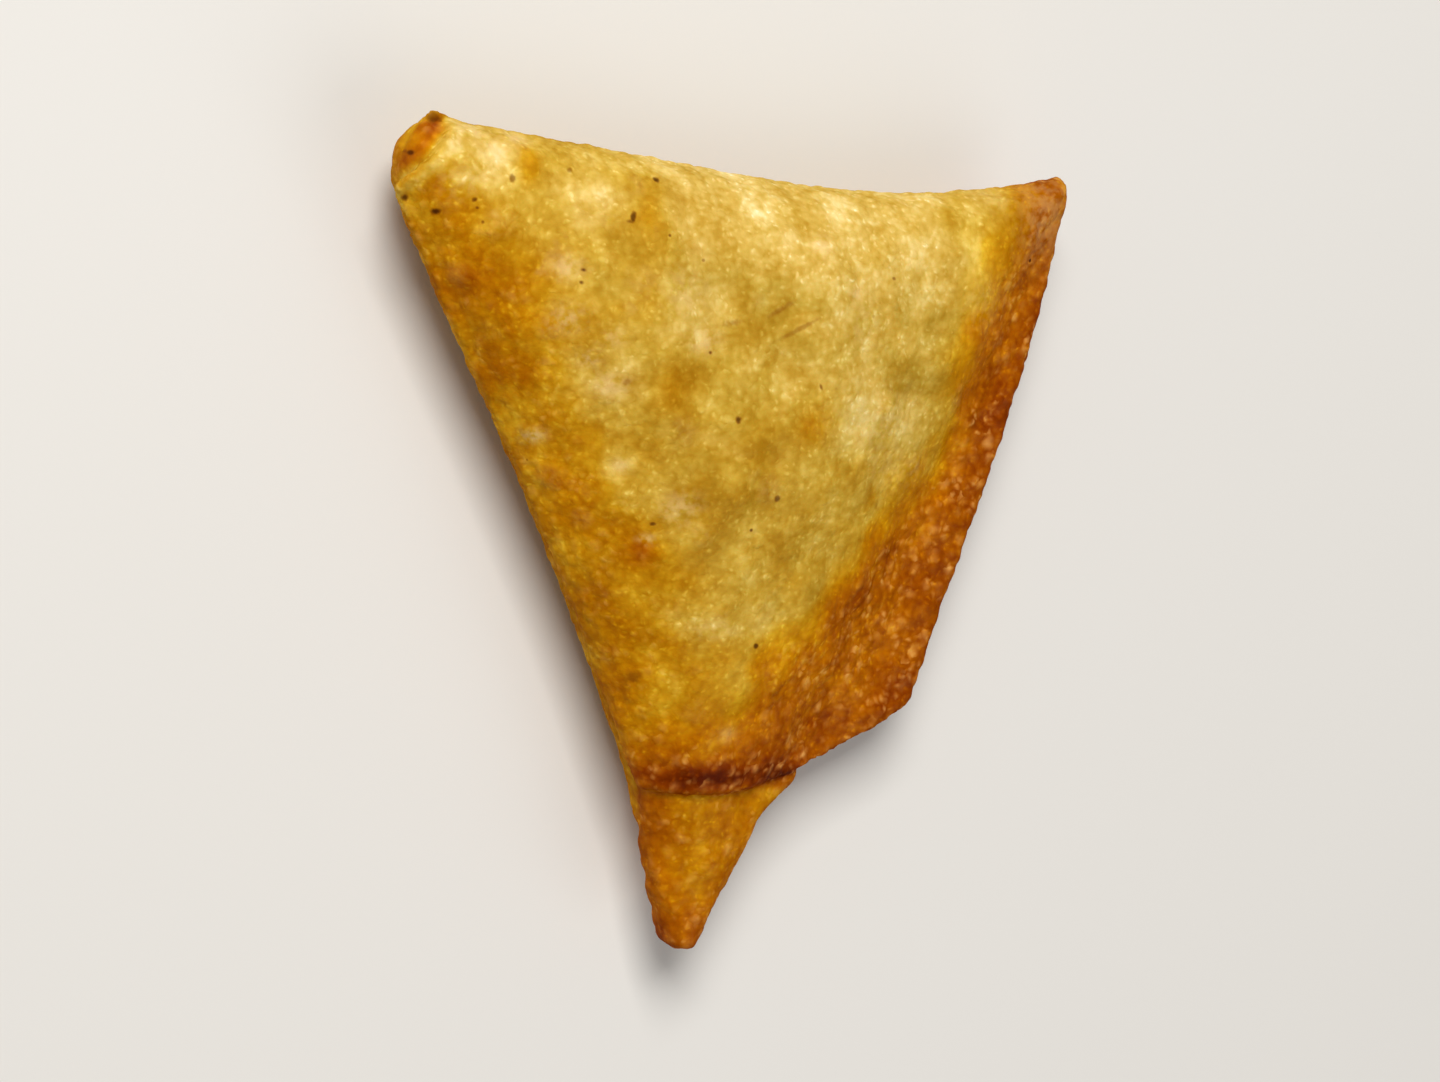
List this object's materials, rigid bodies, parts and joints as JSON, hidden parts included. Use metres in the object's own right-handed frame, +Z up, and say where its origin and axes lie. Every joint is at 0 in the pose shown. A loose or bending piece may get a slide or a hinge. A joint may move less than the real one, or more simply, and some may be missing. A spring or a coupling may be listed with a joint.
{
  "type": "samosa",
  "caption": "Fried three-cornered samosa folded from a thin pastry strip, plump with filling, with a browned side fold, a cut end over its narrow tip and blistered crust.",
  "frame": {"origin": "under the middle of the samosa's outline, on the surface that it lies on", "axes": "+X along the top fold towards the browned ear, +Y from the narrow tip towards the top fold, +Z up out of the front face"},
  "size_m": [0.0812, 0.0888, 0.0222],
  "materials": {
    "fried_pastry": "thin fried pastry, blistered and slightly oily, khaki yellow over the filling, golden along the folds and brown where it is thin"
  },
  "bodies": {
    "root": {"samosa": "fried_pastry"}
  },
  "joints": []
}
